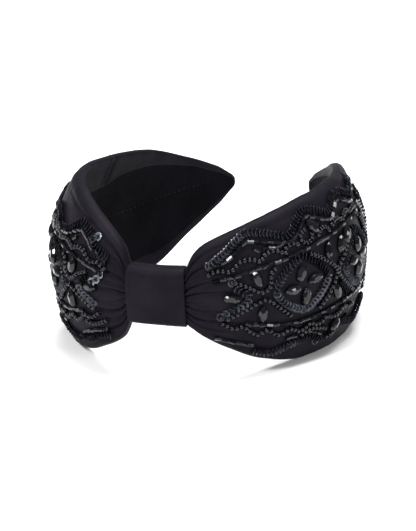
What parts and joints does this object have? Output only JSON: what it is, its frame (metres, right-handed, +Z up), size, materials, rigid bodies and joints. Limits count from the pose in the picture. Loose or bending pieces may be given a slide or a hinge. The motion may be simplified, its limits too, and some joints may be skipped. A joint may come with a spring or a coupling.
{
  "type": "headband",
  "caption": "Wide padded fabric headband of two leaf-shaped lobes gathered into a knot wrap at the crown, with beads, sequins and faceted stones sewn over the front.",
  "frame": {"origin": "centre of the band's bounding box, on the surface that its lower edges stand on", "axes": "+Z up across the width of the band, the knot at the front towards -Y, the two tips at the back towards +Y"},
  "size_m": [0.1356, 0.1528, 0.0688],
  "materials": {
    "satin": "closely woven satin with a soft sheen",
    "lining": "matt woven lining",
    "foam": "open-cell padding foam",
    "buckram": "stiffened interlining",
    "spring_strip": "moulded spring strip",
    "beads": "glossy black beads",
    "sequins": "pearly gunmetal sequins",
    "stones": "cut and polished black stones"
  },
  "bodies": {
    "crown": {"knot_wrap": "satin", "wrap_overlap": "satin", "crown_core": "spring_strip", "crown_padding": "foam"},
    "left_arm": {"left_core": "spring_strip", "left_stiffener": "buckram", "left_padding": "foam", "left_cover": "satin", "left_lining": "lining", "left_upper_sequin_border": "sequins", "left_upper_bugle_border": "beads", "left_upper_seed_scallops": "beads", "left_upper_bugle_line": "beads", "left_upper_seed_arc": "beads", "left_lower_seed_arc": "beads", "left_sequin_chevron": "sequins", "left_front_sequin_diamond": "sequins", "left_back_sequin_diamond": "sequins", "left_lower_bugle_line": "beads", "left_lower_seed_scallops": "beads", "left_lower_sequin_border": "sequins", "left_chevron_stone": "stones", "left_upper_arc_stone": "stones", "left_lower_arc_stone": "stones", "left_flower_stone_1": "stones", "left_flower_stone_2": "stones", "left_flower_stone_3": "stones", "left_flower_stone_4": "stones", "left_upper_gusset_stone": "stones", "left_lower_gusset_stone": "stones", "left_back_flower_stone_1": "stones", "left_back_flower_stone_2": "stones"},
    "right_arm": {"right_core": "spring_strip", "right_stiffener": "buckram", "right_padding": "foam", "right_cover": "satin", "right_lining": "lining", "right_upper_sequin_border": "sequins", "right_upper_bugle_border": "beads", "right_upper_seed_scallops": "beads", "right_upper_bugle_line": "beads", "right_upper_seed_arc": "beads", "right_lower_seed_arc": "beads", "right_sequin_chevron": "sequins", "right_front_sequin_diamond": "sequins", "right_back_sequin_diamond": "sequins", "right_lower_bugle_line": "beads", "right_lower_seed_scallops": "beads", "right_lower_sequin_border": "sequins", "right_chevron_stone": "stones", "right_upper_arc_stone": "stones", "right_lower_arc_stone": "stones", "right_flower_stone_1": "stones", "right_flower_stone_2": "stones", "right_flower_stone_3": "stones", "right_flower_stone_4": "stones", "right_upper_gusset_stone": "stones", "right_lower_gusset_stone": "stones", "right_back_flower_stone_1": "stones", "right_back_flower_stone_2": "stones"}
  },
  "joints": [
    {"name": "left_flex", "type": "hinge", "parent": "crown", "child": "left_arm", "pos_m": [-0.00588, -0.07108, 0.0344], "axis": [0, 0, 1], "range_deg": [-4, 12], "stiffness_Nm_per_rad": 1.2},
    {"name": "right_flex", "type": "hinge", "parent": "crown", "child": "right_arm", "pos_m": [0.00588, -0.07108, 0.0344], "axis": [0, 0, -1], "range_deg": [-4, 12], "stiffness_Nm_per_rad": 1.2}
  ]
}
